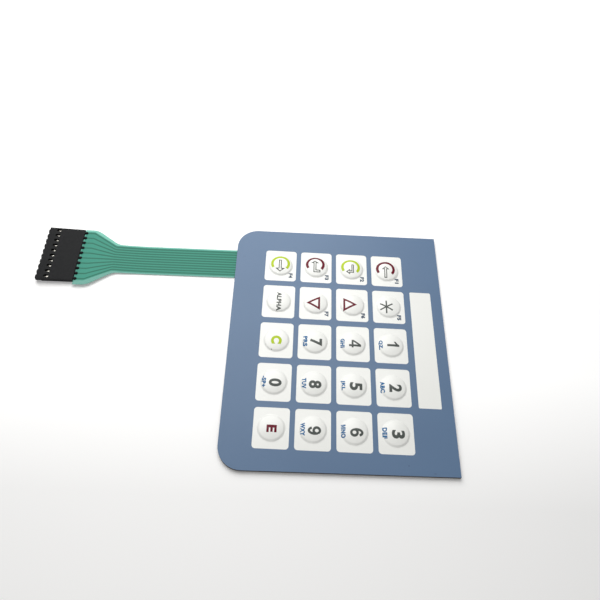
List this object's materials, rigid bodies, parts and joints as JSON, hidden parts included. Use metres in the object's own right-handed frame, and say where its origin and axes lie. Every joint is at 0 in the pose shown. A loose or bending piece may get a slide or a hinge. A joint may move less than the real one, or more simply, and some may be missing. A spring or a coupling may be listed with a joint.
{
  "type": "membrane switch panel",
  "caption": "Flat laminated keypad with embossed pillow keys on a printed overlay, and a flat film tail that ends in a black crimped socket.",
  "frame": {"origin": "centre of the panel's rear face, on the release liner", "axes": "+X across the panel to its right, +Y up the panel, +Z out of the printed face; the tail runs towards -Y"},
  "size_m": [0.1027, 0.1627, 0.0029],
  "materials": {
    "overlay_film": "white embossed polyester film, soft satin",
    "blue_grey_ink": "screen-printed blue-grey under a fine matt texture",
    "dark_red_ink": "printed dark red",
    "yellow_green_ink": "printed yellow-green",
    "liner_paper": "siliconised kraft paper",
    "clear_adhesive": "acrylic adhesive on a thin carrier",
    "circuit_polyester": "translucent mint-tinted polyester film",
    "silver_ink": "screen-printed silver polymer ink",
    "green_dielectric": "green printed insulating coat",
    "spacer_film": "dark polyester spacer",
    "spring_steel": "stamped stainless spring steel",
    "black_moulding": "black glass-filled moulding, fine satin",
    "tinned_bronze": "tin-plated bronze"
  },
  "bodies": {
    "root": {"release_liner": "liner_paper", "rear_adhesive": "clear_adhesive", "front_adhesive": "clear_adhesive", "circuit_film": "circuit_polyester", "circuit_print": "silver_ink", "crossing_jumpers": "silver_ink", "crossing_insulation": "green_dielectric", "tail_coat": "green_dielectric", "dome_spacer": "spacer_film", "overlay": "overlay_film", "panel_colour": "blue_grey_ink", "ring_print_red": "dark_red_ink", "arrow_sign_print": "dark_red_ink", "ring_print_green": "yellow_green_ink", "socket_housing": "black_moulding", "snap_dome_f1": "spring_steel", "snap_dome_star": "spring_steel", "snap_dome_1": "spring_steel", "snap_dome_2": "spring_steel", "snap_dome_3": "spring_steel", "snap_dome_f2": "spring_steel", "snap_dome_up": "spring_steel", "snap_dome_4": "spring_steel", "snap_dome_5": "spring_steel", "snap_dome_6": "spring_steel", "snap_dome_f3": "spring_steel", "snap_dome_down": "spring_steel", "snap_dome_7": "spring_steel", "snap_dome_8": "spring_steel", "snap_dome_9": "spring_steel", "snap_dome_f4": "spring_steel", "snap_dome_alpha": "spring_steel", "snap_dome_c": "spring_steel", "snap_dome_0": "spring_steel", "snap_dome_e": "spring_steel", "contact_1": "tinned_bronze", "contact_2": "tinned_bronze", "contact_3": "tinned_bronze", "contact_4": "tinned_bronze", "contact_5": "tinned_bronze", "contact_6": "tinned_bronze", "contact_7": "tinned_bronze", "contact_8": "tinned_bronze", "contact_9": "tinned_bronze", "contact_10": "tinned_bronze"}
  },
  "joints": []
}
